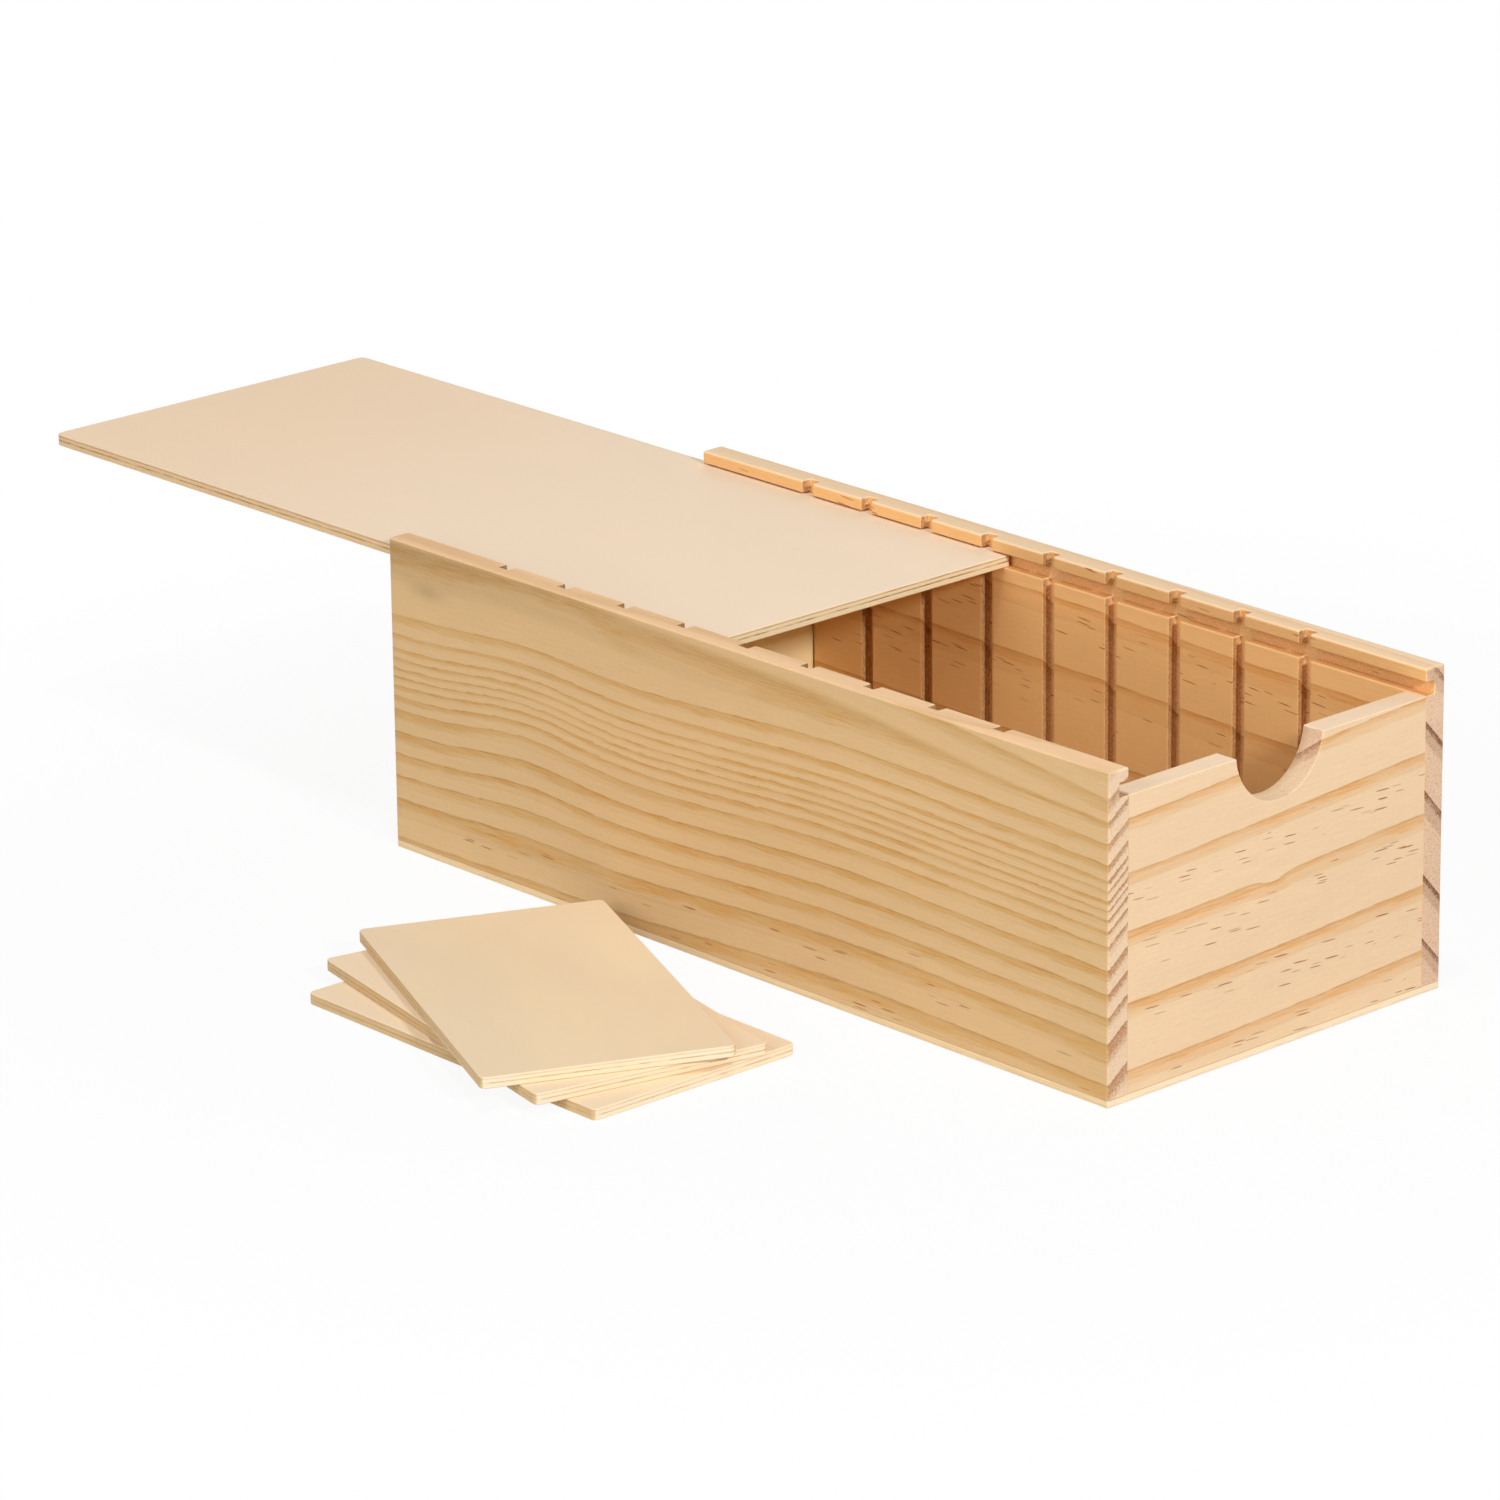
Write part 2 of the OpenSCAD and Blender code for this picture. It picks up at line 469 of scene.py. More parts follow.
def growth_ring_group():
    """Latewood bands from a ring count: a sharp upper edge, an even band and a paler one under it."""
    tree, w, entry, leave = new_group(
        "Growth rings",
        {
            "Place": "vector",
            "Count": "value",
            "Dark Share": "value",
            "Pale Share": "value",
            "Pale Tone": "value",
            "Crisp": "value",
            "Tone": "value",
        },
        {"Latewood": "value", "Line": "value", "Phase": "value"},
    )
    count, crisp = entry["Count"], entry["Crisp"]
    phase = w.math("FRACT", count)
    below = w.rest(phase)
    ending = w.step(below, 0.0, crisp)
    _, along, _ = w.parts(entry["Place"])
    own_course = w.node("ShaderNodeCombineXYZ")
    w.feed(own_course.inputs[0], w.times(along, 0.013))
    w.feed(own_course.inputs[1], w.times(w.math("FLOOR", count), 3.7))
    width = w.step(w.cloud(own_course.outputs[0], 1.0), 0.3, 0.7, 0.75, 1.35)
    dark_share = w.times(entry["Dark Share"], width)
    soft = w.times(dark_share, 0.4)
    feather = w.cloud(w.stretch(entry["Place"], (1.1, 0.045, 1.1), (2.0, 5.0, 9.0)), 3.0, 0.6)
    fringe = w.add(below, w.swing(feather, dark_share, 1.6))
    dark = w.fall(fringe, w.math("SUBTRACT", dark_share, soft), w.add(dark_share, soft))
    pale_share = entry["Pale Share"]
    pale = w.fall(fringe, w.math("SUBTRACT", pale_share, soft), w.add(pale_share, soft))
    band = w.math("MAXIMUM", dark, w.times(pale, entry["Pale Tone"]))
    ring_tone = w.scale_to(w.chance(w.math("FLOOR", count)), 0.82, 1.0)
    patchy = w.cloud(w.stretch(entry["Place"], (0.05, 0.014, 0.12), (7.0, 3.0, 5.0)), 2.0)
    tone = w.times(ring_tone, ending, entry["Tone"], w.step(patchy, 0.25, 0.65, 0.75, 1.1))
    edge_line = w.times(
        w.fall(below, w.times(crisp, 0.8), w.times(crisp, 3.0)),
        w.fall(crisp, 0.07, 0.2),
    )
    closing_line = w.ridge(below, pale_share, crisp)
    lines = w.math("MAXIMUM", edge_line, w.times(closing_line, 0.3))
    w.feed(leave["Latewood"], w.times(band, tone))
    w.feed(leave["Line"], w.times(lines, tone))
    w.feed(leave["Phase"], phase)
    return tree


def wood_fibre_group():
    """Fine streaks along the grain, which turn to specks on end grain."""
    tree, w, entry, leave = new_group(
        "Wood fibre",
        {"Place": "vector"},
        {"Streak": "value", "Fine": "value", "Patch": "value", "Broad": "value"},
    )
    place = entry["Place"]
    w.feed(leave["Streak"], w.cloud(w.stretch(place, (1.5, 0.06, 1.5)), 3.0, 0.65))
    w.feed(leave["Fine"], w.cloud(w.stretch(place, (4.0, 0.35, 4.0), (3.0, 9.0, 1.0)), 2.0, 0.65))
    w.feed(leave["Patch"], w.cloud(w.stretch(place, (0.12, 0.035, 0.28), (1.0, 6.0, 3.0)), 2.0))
    w.feed(leave["Broad"], w.cloud(w.stretch(place, (0.03, 0.007, 0.03), (5.0, 1.0, 8.0)), 2.0))
    return tree


def resin_dash_group():
    """Short thin resin streaks, lying in the pale part of each ring."""
    tree, w, entry, leave = new_group(
        "Resin dashes",
        {"Place": "vector", "Phase": "value", "Amount": "value", "Slant": "value"},
        {"Dash": "value"},
    )
    # Places for a dash per millimetre along and up, and how the pattern shifts through the board
    per_along, per_up = 0.075, 1.12
    shift_along, shift_up = 13.7, 3.1
    through, along, up = w.parts(entry["Place"])
    run = w.add(along, w.times(through, shift_along))
    level = w.add(up, w.times(along, entry["Slant"]), w.times(through, shift_up))
    joined = w.node("ShaderNodeCombineXYZ")
    w.feed(joined.inputs[0], w.times(run, per_along))
    w.feed(joined.inputs[1], w.times(level, per_up))
    distance, random_colour = w.cells(joined.outputs[0])
    second, third, first = w.parts(random_colour)
    cluster = w.cloud(w.stretch(entry["Place"], (0.05, 0.018, 0.06), (2.0, 6.0, 4.0)), 1.0)
    phase = entry["Phase"]
    in_ring = w.times(w.step(phase, 0.28, 0.42), w.fall(phase, 0.8, 0.88))
    amount = w.times(entry["Amount"], in_ring, w.step(cluster, 0.35, 0.65, 0.55, 1.4))
    chosen = w.math("LESS_THAN", first, amount)
    reach = w.scale_to(second, 0.2, 0.37)
    body = w.fall(w.math("DIVIDE", distance, reach), 0.65, 1.0)
    w.feed(leave["Dash"], w.times(body, chosen, w.scale_to(third, 0.35, 1.0)))
    return tree


def pine_board_group(parts):
    """The whole look of a pine board, from its place in the board to its colour and relief."""
    tree, w, entry, leave = new_group(
        "Pine board",
        {
            "Place": "vector",
            "Normal": "vector",
            "Count": "value",
            "Dark Share": "value",
            "Pale Share": "value",
            "Pale Tone": "value",
            "Crisp": "value",
            "Tone": "value",
            "Dash Amount": "value",
            "Dash Slant": "value",
            "Stain": "value",
            "Pores": "value",
            "Top Edge": "value",
            "Routed": "value",
            "Arris": "value",
            "Early": "colour",
            "Late": "colour",
            "Top": "colour",
            "Cross Early": "colour",
            "Cross Late": "colour",
            "Resin": "colour",
            "Slot": "colour",
        },
        {"Colour": "colour", "Roughness": "value", "Relief": "value"},
    )
    place = entry["Place"]
    rings = w.group(
        parts["rings"],
        place=place,
        count=entry["Count"],
        dark_share=entry["Dark Share"],
        pale_share=entry["Pale Share"],
        pale_tone=entry["Pale Tone"],
        crisp=entry["Crisp"],
        tone=entry["Tone"],
    )
    fibre = w.group(parts["fibre"], place=place)
    _, along_normal, up_normal = w.parts(entry["Normal"])
    cross = w.step(w.math("ABSOLUTE", along_normal), 0.55, 0.85)
    cross = w.times(cross, w.step(entry["Routed"], 0.5, 0.9, 1.0, 0.25))
    upward = w.times(w.step(up_normal, 0.2, 0.5), entry["Top Edge"])
    dash = w.group(
        parts["dashes"],
        place=place,
        phase=rings["Phase"],
        amount=entry["Dash Amount"],
        slant=entry["Dash Slant"],
    )["Dash"]
    off_top = w.rest(upward)
    dash = w.times(dash, off_top)

    early = w.blend(upward, entry["Early"], entry["Top"])
    reddish = w.blend(1.0, entry["Late"], REDDISH, "MULTIPLY")
    late = w.blend(w.step(fibre["Patch"], 0.4, 0.65), entry["Late"], reddish)
    streaky = w.step(fibre["Streak"], 0.32, 0.66, 0.5, 1.15)
    on_top = w.scale_to(upward, 1.0, 0.5)
    latewood = w.times(rings["Latewood"], streaky, on_top)
    line = w.times(rings["Line"], streaky, on_top)
    long_wood = w.blend(latewood, early, late)
    long_wood = w.tint(long_wood, w.scale_to(line, 1.0, 0.78))
    long_wood = w.blend(w.times(dash, 0.95), long_wood, entry["Resin"])
    cut_late = w.math("MULTIPLY", latewood, 1.2, clamp=True)
    cut_wood = w.blend(cut_late, entry["Cross Early"], entry["Cross Late"])
    cut_wood = w.tint(cut_wood, w.scale_to(line, 1.0, 0.66))
    pores = w.step(w.cloud(w.stretch(place, (1.1, 0.2, 1.1), (8.0, 5.0, 2.0)), 3.0, 0.7), 0.52, 0.64)
    cut_wood = w.tint(cut_wood, w.rest(w.times(pores, entry["Pores"])))
    wood = w.blend(cross, long_wood, cut_wood)

    speck = w.scale_to(cross, 0.16, 0.5)
    shade = w.add(
        1.0,
        w.swing(fibre["Streak"], 0.2),
        w.swing(fibre["Fine"], speck),
        w.swing(fibre["Broad"], 0.14),
        w.times(entry["Stain"], off_top, w.scale_to(fibre["Streak"], -0.6, -1.4)),
    )
    wood = w.tint(wood, shade)
    # Cut surfaces take the cutter's fuzz and the slot tint, which is painted shade that darkens them
    # towards the board's inner face
    burnished_and_painted_shade = w.blend(1.0, wood, entry["Slot"], "MULTIPLY")
    fuzz = w.cloud(w.stretch(place, (2.2, 2.2, 0.9), (1.0, 4.0, 2.0)), 3.0, 0.65)
    burnished_and_painted_shade = w.tint(burnished_and_painted_shade, w.step(fuzz, 0.3, 0.72, 0.7, 1.35))
    wood = w.blend(entry["Routed"], wood, burnished_and_painted_shade)
    # Rounded edges are painted lighter: a painted highlight
    painted_edge_highlight = w.tint(wood, 1.14)
    w.feed(leave["Colour"], w.blend(w.times(entry["Arris"], 0.8), wood, painted_edge_highlight))

    rough = w.add(
        0.56,
        w.times(fibre["Streak"], 0.10),
        w.times(rings["Latewood"], -0.08),
        w.times(entry["Routed"], 0.22),
        w.times(cross, 0.10),
    )
    w.feed(leave["Roughness"], rough)
    relief = w.add(
        w.times(fibre["Streak"], 0.45),
        w.times(fibre["Fine"], 0.35),
        w.times(rings["Latewood"], 0.35),
        w.times(dash, -0.1),
        w.times(fuzz, entry["Routed"], 1.2),
    )
    w.feed(leave["Relief"], relief)
    return tree


def ply_panel_group(parts):
    """Plywood: a smooth face veneer, and three layers with two glue lines at the rim."""
    tree, w, entry, leave = new_group(
        "Plywood",
        {
            "Place": "vector",
            "Normal": "vector",
            "Thickness": "value",
            "Upper Line": "value",
            "Upper Tone": "value",
            "Lower Line": "value",
            "Lower Tone": "value",
            "Face": "colour",
            "Warm Face": "colour",
            "Warmth": "value",
            "Edge": "colour",
            "Side Edge": "colour",
            "Line": "colour",
            "Arris": "value",
        },
        {"Colour": "colour", "Roughness": "value", "Relief": "value"},
    )
    place = entry["Place"]
    across_normal, _, up_normal = w.parts(entry["Normal"])
    flat = w.step(w.math("ABSOLUTE", up_normal), 0.45, 0.75)
    side = w.step(w.math("ABSOLUTE", across_normal), 0.5, 0.8)
    fibre = w.group(parts["fibre"], place=place)
    flow = w.cloud(w.stretch(place, (0.02, 0.007, 0.05), (4.0, 2.0, 7.0)), 3.0, 0.5)
    fleck = w.group(parts["dashes"], place=place, phase=0.6, amount=0.004, slant=0.02)["Dash"]
    shade = w.add(
        1.0,
        w.swing(flow, 0.08),
        w.swing(fibre["Fine"], 0.03),
        w.swing(fibre["Streak"], 0.02),
        w.times(fleck, -0.12),
    )
    warm = w.math("ADD", entry["Warmth"], w.swing(flow, 0.8), clamp=True)
    face = w.tint(w.blend(warm, entry["Face"], entry["Warm Face"]), shade)

    line_half = 0.08
    _, _, up = w.parts(place)
    ripple = w.cloud(w.stretch(place, (0.06, 0.06, 0.0), (1.0, 7.0, 0.0)), 3.0)
    depth = w.add(w.math("DIVIDE", up, entry["Thickness"]), w.swing(ripple, 0.08))
    broken = w.cloud(w.stretch(place, (0.1, 0.1, 0.4), (3.0, 3.0, 0.0)), 2.0)
    upper = w.times(
        w.ridge(depth, entry["Upper Line"], line_half),
        entry["Upper Tone"],
        w.step(broken, 0.3, 0.6, 1.0, 0.6),
    )
    lower = w.times(
        w.ridge(depth, entry["Lower Line"], line_half),
        entry["Lower Tone"],
        w.step(broken, 0.35, 0.6, 0.3, 1.0),
    )
    lines = w.math("MAXIMUM", upper, lower)
    streaks = w.cloud(w.stretch(place, (0.05, 0.05, 2.4), (5.0, 8.0, 3.0)), 3.0, 0.6)
    specks = w.cloud(w.stretch(place, (3.0, 3.0, 5.0), (9.0, 2.0, 6.0)), 3.0, 0.65)
    grainy = w.add(
        1.0,
        w.swing(specks, 0.2),
        w.swing(streaks, w.scale_to(side, 0.08, 0.5)),
    )
    layer = w.blend(side, entry["Edge"], entry["Side Edge"])
    rim = w.blend(lines, w.tint(layer, grainy), entry["Line"])
    wood = w.blend(flat, rim, face)
    w.feed(leave["Colour"], w.blend(w.times(entry["Arris"], 0.35), wood, entry["Face"]))
    w.feed(leave["Roughness"], w.add(0.52, w.times(fibre["Fine"], 0.1), w.times(flat, -0.04)))
    relief = w.add(
        w.times(fibre["Fine"], 0.25),
        w.times(fleck, -0.5),
        w.times(lines, -0.8),
        w.times(specks, w.rest(flat), 0.9),
    )
    w.feed(leave["Relief"], relief)
    return tree


def wood_groups():
    """The shared node groups, built once."""
    if "Pine board" not in bpy.data.node_groups:
        parts = {
            "rings": growth_ring_group(),
            "fibre": wood_fibre_group(),
            "dashes": resin_dash_group(),
        }
        grain_swell_group()
        grain_wander_group()
        pine_board_group(parts)
        ply_panel_group(parts)
    return bpy.data.node_groups


def new_material(name):
    """A material with a Principled shader, and its wiring."""
    material = bpy.data.materials.new(name)
    material.use_nodes = True
    wiring = Wiring(material.node_tree)
    shader = material.node_tree.nodes["Principled BSDF"]
    shader.inputs["Specular IOR Level"].default_value = WOOD_SHEEN
    return material, wiring, shader


def board_place(wiring):
    """Place on the piece in millimetres, and the surface's own direction."""
    source = wiring.node("ShaderNodeTexCoord")
    place = wiring.stretch(source.outputs["Object"], (PER_MM, PER_MM, PER_MM))
    return place, source.outputs["Normal"]


def face_mark(wiring, name):
    """The value of a face attribute that the mesh carries."""
    return wiring.node("ShaderNodeAttribute", attribute_name=name).outputs["Fac"]


def finish_shader(wiring, shader, look, relief_depth):
    """Joins a look's colour, roughness and relief to the shader."""
    wiring.feed(shader.inputs["Base Color"], look["Colour"])
    wiring.feed(shader.inputs["Roughness"], look["Roughness"])
    bump = wiring.node("ShaderNodeBump")
    bump.inputs["Strength"].default_value = 1.0
    bump.inputs["Distance"].default_value = relief_depth
    wiring.feed(bump.inputs["Height"], look["Relief"])
    wiring.feed(shader.inputs["Normal"], bump.outputs["Normal"])


def ring_count(wiring, height, rings):
    """Counts the rings below a height. Each ring is given by the height of its sharp edge."""
    first, last = rings[0], rings[-1]
    steps = len(rings) - 1
    curve = wiring.node("ShaderNodeFloatCurve")
    share = wiring.math("DIVIDE", wiring.math("SUBTRACT", height, first), last - first)
    wiring.feed(curve.inputs["Value"], share)
    points = curve.mapping.curves[0].points
    for number in range(1, steps):
        points.new((rings[number] - first) / (last - first), number / steps)
    for point in points:
        point.handle_type = "VECTOR"
    curve.mapping.extend = "EXTRAPOLATED"
    curve.mapping.update()
    return wiring.times(curve.outputs["Value"], steps)


def swell(wiring, place, along, along_spread, up, up_spread, lift):
    """The rise at a place from one swell."""
    hump = wiring.group(
        wood_groups()["Grain swell"],
        place=place,
        along=along,
        along_spread=along_spread,
        up=up,
        up_spread=up_spread,
        lift=lift,
    )
    return hump["Rise"]


def through_floor(sizes):
    """Depth of a slot's floor under a side board's outer face, in millimetres."""
    low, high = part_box("side_left")
    return (high.x - low.x - sizes.groove_depth) * PER_MM


def pine_material(
    name,
    node,
    early,
    late,
    top,
    cross,
    lean,
    rise,
    rings,
    swells,
    drift,
    ragged,
    offset,
    dashes,
    sag=None,
    fade=None,
    stains=(),
    **figure,
):
    """Pine with its own growth rings. A swell is along, along spread, up, up spread and lift.
    A sag draws down the rings near the top, from one place along the board on.
    A fade is two heights and the share of the rings' tone left at the upper one.
    Dashes are the share of places that hold one, up to a height, and the height where they end.
    A stain is placed like a swell, with its depth in place of the lift, or below 0 to pale the wood."""
    groups = wood_groups()
    colours = bpy.context.scene.card_box_colours
    material, w, shader = new_material(name)
    place, normal = board_place(w)
    through, along, up = w.parts(place)
    own_place = w.stretch(place, (1.0, 1.0, 1.0), offset)
    stray = w.group(groups["Grain wander"], place=own_place, drift=drift, ragged=ragged)
    height = w.add(up, w.times(through, -lean), w.times(along, -rise), stray["Rise"])
    for *spread, lift in swells:
        height = w.add(height, swell(w, place, *spread, -lift))
    figure["tone"] = w.step(up, fade[0], fade[1], 1.0, fade[2]) if fade else 1.0
    if sag:
        start, slope, low, high = sag
        beyond = w.math("MAXIMUM", w.math("SUBTRACT", start, along), 0.0)
        figure["crisp"] = w.step(height, low, high, figure["crisp"], SAG_CRISP)
        figure["tone"] = w.step(height, low, high, 1.0, SAG_TONE)
        height = w.add(height, w.times(beyond, slope, w.step(height, low, high)))
    stain = 0.0
    for row in stains:
        stain = w.add(stain, swell(w, place, *row))
    board_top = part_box(node)[1].z * PER_MM
    sizes = bpy.context.scene.card_box_boards
    floor = through_floor(sizes)
    depth = w.step(through, floor, floor + sizes.groove_depth * PER_MM)
    inner = w.step(through, *(floor - band for band in INNER_BAND))
    amount, dashes_low, dashes_high = dashes
    look = w.group(
        groups["Pine board"],
        place=own_place,
        normal=normal,
        count=ring_count(w, height, rings),
        top_edge=w.step(up, *(board_top - band for band in TOP_BAND)),
        routed=face_mark(w, "routed"),
        # Painted highlight on the rounded edges near the inner face
        arris=w.times(face_mark(w, "arris"), inner),
        early=rgba(early),
        late=rgba(late),
        top=rgba(top),
        cross_early=rgba(cross[0]),
        cross_late=rgba(cross[1]),
        resin=rgba(colours.resin),
        # Painted shade: the cut surfaces darken towards the inner face
        slot=w.blend(depth, rgba(colours.slot), rgba(colours.slot_mouth_shade)),
        dash_amount=w.step(up, dashes_low, dashes_high, amount, 0.0),
        stain=stain,
        **figure,
    )
    finish_shader(w, shader, look, PINE_RELIEF)
    return material


def ply_material(name, face, warm_face, edge, side_edge, thickness, warm_span, **lines):
    """Plywood of one thickness, with its glue lines as shares of that thickness.
    The veneer turns to its warm colour over a span along the panel."""
    groups = wood_groups()
    colours = bpy.context.scene.card_box_colours
    material, w, shader = new_material(name)
    place, normal = board_place(w)
    _, along, _ = w.parts(place)
    look = w.group(
        groups["Plywood"],
        place=place,
        normal=normal,
        thickness=thickness * PER_MM,
        face=rgba(face),
        warm_face=rgba(warm_face),
        warmth=w.step(along, *warm_span),
        edge=rgba(edge),
        side_edge=rgba(side_edge),
        line=rgba(colours.ply_line),
        arris=face_mark(w, "arris"),
        **lines,
    )
    finish_shader(w, shader, look, PLY_RELIEF)
    return material


def wrap_cells(mesh, cuts, solid):
    """Adds the skin of a block cut into cells. solid says by number which cells hold wood."""
    corners = {}
    counts = [len(row) - 1 for row in cuts]

    def corner(index):
        if index not in corners:
            corners[index] = mesh.verts.new([cuts[axis][index[axis]] for axis in range(3)])
        return corners[index]

    def holds(cell):
        inside = all(0 <= cell[axis] < counts[axis] for axis in range(3))
        return inside and solid(*cell)

    def side_ring(cell, axis, side):
        one = (axis + 1) % 3
        two = (axis + 2) % 3
        ring = []
        for step_one, step_two in ((0, 0), (1, 0), (1, 1), (0, 1)):
            index = list(cell)
            index[axis] += side
            index[one] += step_one
            index[two] += step_two
            ring.append(corner(tuple(index)))
        return ring

    for cell in product(*map(range, counts)):
        if not holds(cell):
            continue
        for axis, side in product(range(3), (0, 1)):
            beyond = list(cell)
            beyond[axis] += 2 * side - 1
            if holds(tuple(beyond)):
                continue
            ring = side_ring(cell, axis, side)
            mesh.faces.new(ring if side else ring[::-1])


def plate_outline(width, long, radius):
    """Points round a rectangle with round corners, centred on the origin."""
    points = []
    for quarter, (side_x, side_y) in enumerate(((1, 1), (-1, 1), (-1, -1), (1, -1))):
        centre = Vector((side_x * (width / 2 - radius), side_y * (long / 2 - radius)))
        for step in range(CORNER_STEPS + 1):
            turn = math.radians(90) * (quarter + step / CORNER_STEPS)
            points.append(centre + radius * Vector((math.cos(turn), math.sin(turn))))
    return points


def extrude_outline(mesh, points, thick, axis):
    """Adds a closed solid: an outline of pairs carried along one axis from 0."""
    rings = []
    for level in (0.0, thick):
        ring = []
        for first, second in points:
            place = [first, second]
            place.insert(axis, level)
            ring.append(mesh.verts.new(place))
        rings.append(ring)
    mesh.faces.new(rings[0][::-1])
    mesh.faces.new(rings[1])
    count = len(points)
    for index in range(count):
        following = (index + 1) % count
        mesh.faces.new(
            (rings[0][index], rings[0][following], rings[1][following], rings[1][index])
        )


def mark_edges(mesh, radius_of, widest):
    """Sets how far each edge that turns outwards is rounded, and keeps inner corners sharp."""
    bmesh.ops.recalc_face_normals(mesh, faces=mesh.faces)
    weights = mesh.edges.layers.float.new("bevel_weight_edge")
    for edge in mesh.edges:
        turn = edge.calc_face_angle_signed()
        if turn > SHARP_TURN:
            edge[weights] = radius_of(edge) / widest
        elif turn < -SHARP_TURN:
            edge.smooth = False


def make_piece(name, mesh, widest, material, place, body, node):
    """Rounds the marked edges, and sets the finished piece on its body in the part's frame."""
    data = bpy.data.meshes.new(name)
    for face in mesh.faces:
        face.smooth = True
    mesh.to_mesh(data)
    mesh.free()
    piece = bpy.data.objects.new(name, data)
    bpy.context.scene.collection.objects.link(piece)
    rounding = piece.modifiers.new("Rounded edges", "BEVEL")
    rounding.limit_method = "WEIGHT"
    rounding.width = widest
    rounding.segments = BEVEL_STEPS
    rounding.use_clamp_overlap = False
    rounding.material = 1
    levelling = piece.modifiers.new("Level faces", "WEIGHTED_NORMAL")
    levelling.keep_sharp = True
    data.materials.append(material)
    data.materials.append(material)
    seen = piece.evaluated_get(bpy.context.evaluated_depsgraph_get())
    final = bpy.data.meshes.new_from_object(seen)
    final.name = name
    piece.modifiers.clear()
    piece.data = final
    bpy.data.meshes.remove(data)
    arris = final.attributes.new("arris", "FLOAT", "FACE")
    for polygon in final.polygons:
        arris.data[polygon.index].value = float(polygon.material_index == 1)
        polygon.material_index = 0
    final.materials.clear()
    final.materials.append(material)
    piece.matrix_world = place
    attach(piece, body)
    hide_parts(node)


def standing_on(node, outward):
    """Matrix of a board's own frame: X inwards from its outer face, Y along its grain, Z up."""
    inward = -Vector(outward)
    up = Vector((0, 0, 1))
    along = up.cross(inward)
    low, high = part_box(node)
    middle = (low + high) / 2
    origin = middle + Vector(outward) * abs((high - low) @ Vector(outward)) / 2
    origin.z = 0.0
    axes = Matrix((inward, along, up)).transposed().to_4x4()
    return Matrix.Translation(origin) @ axes


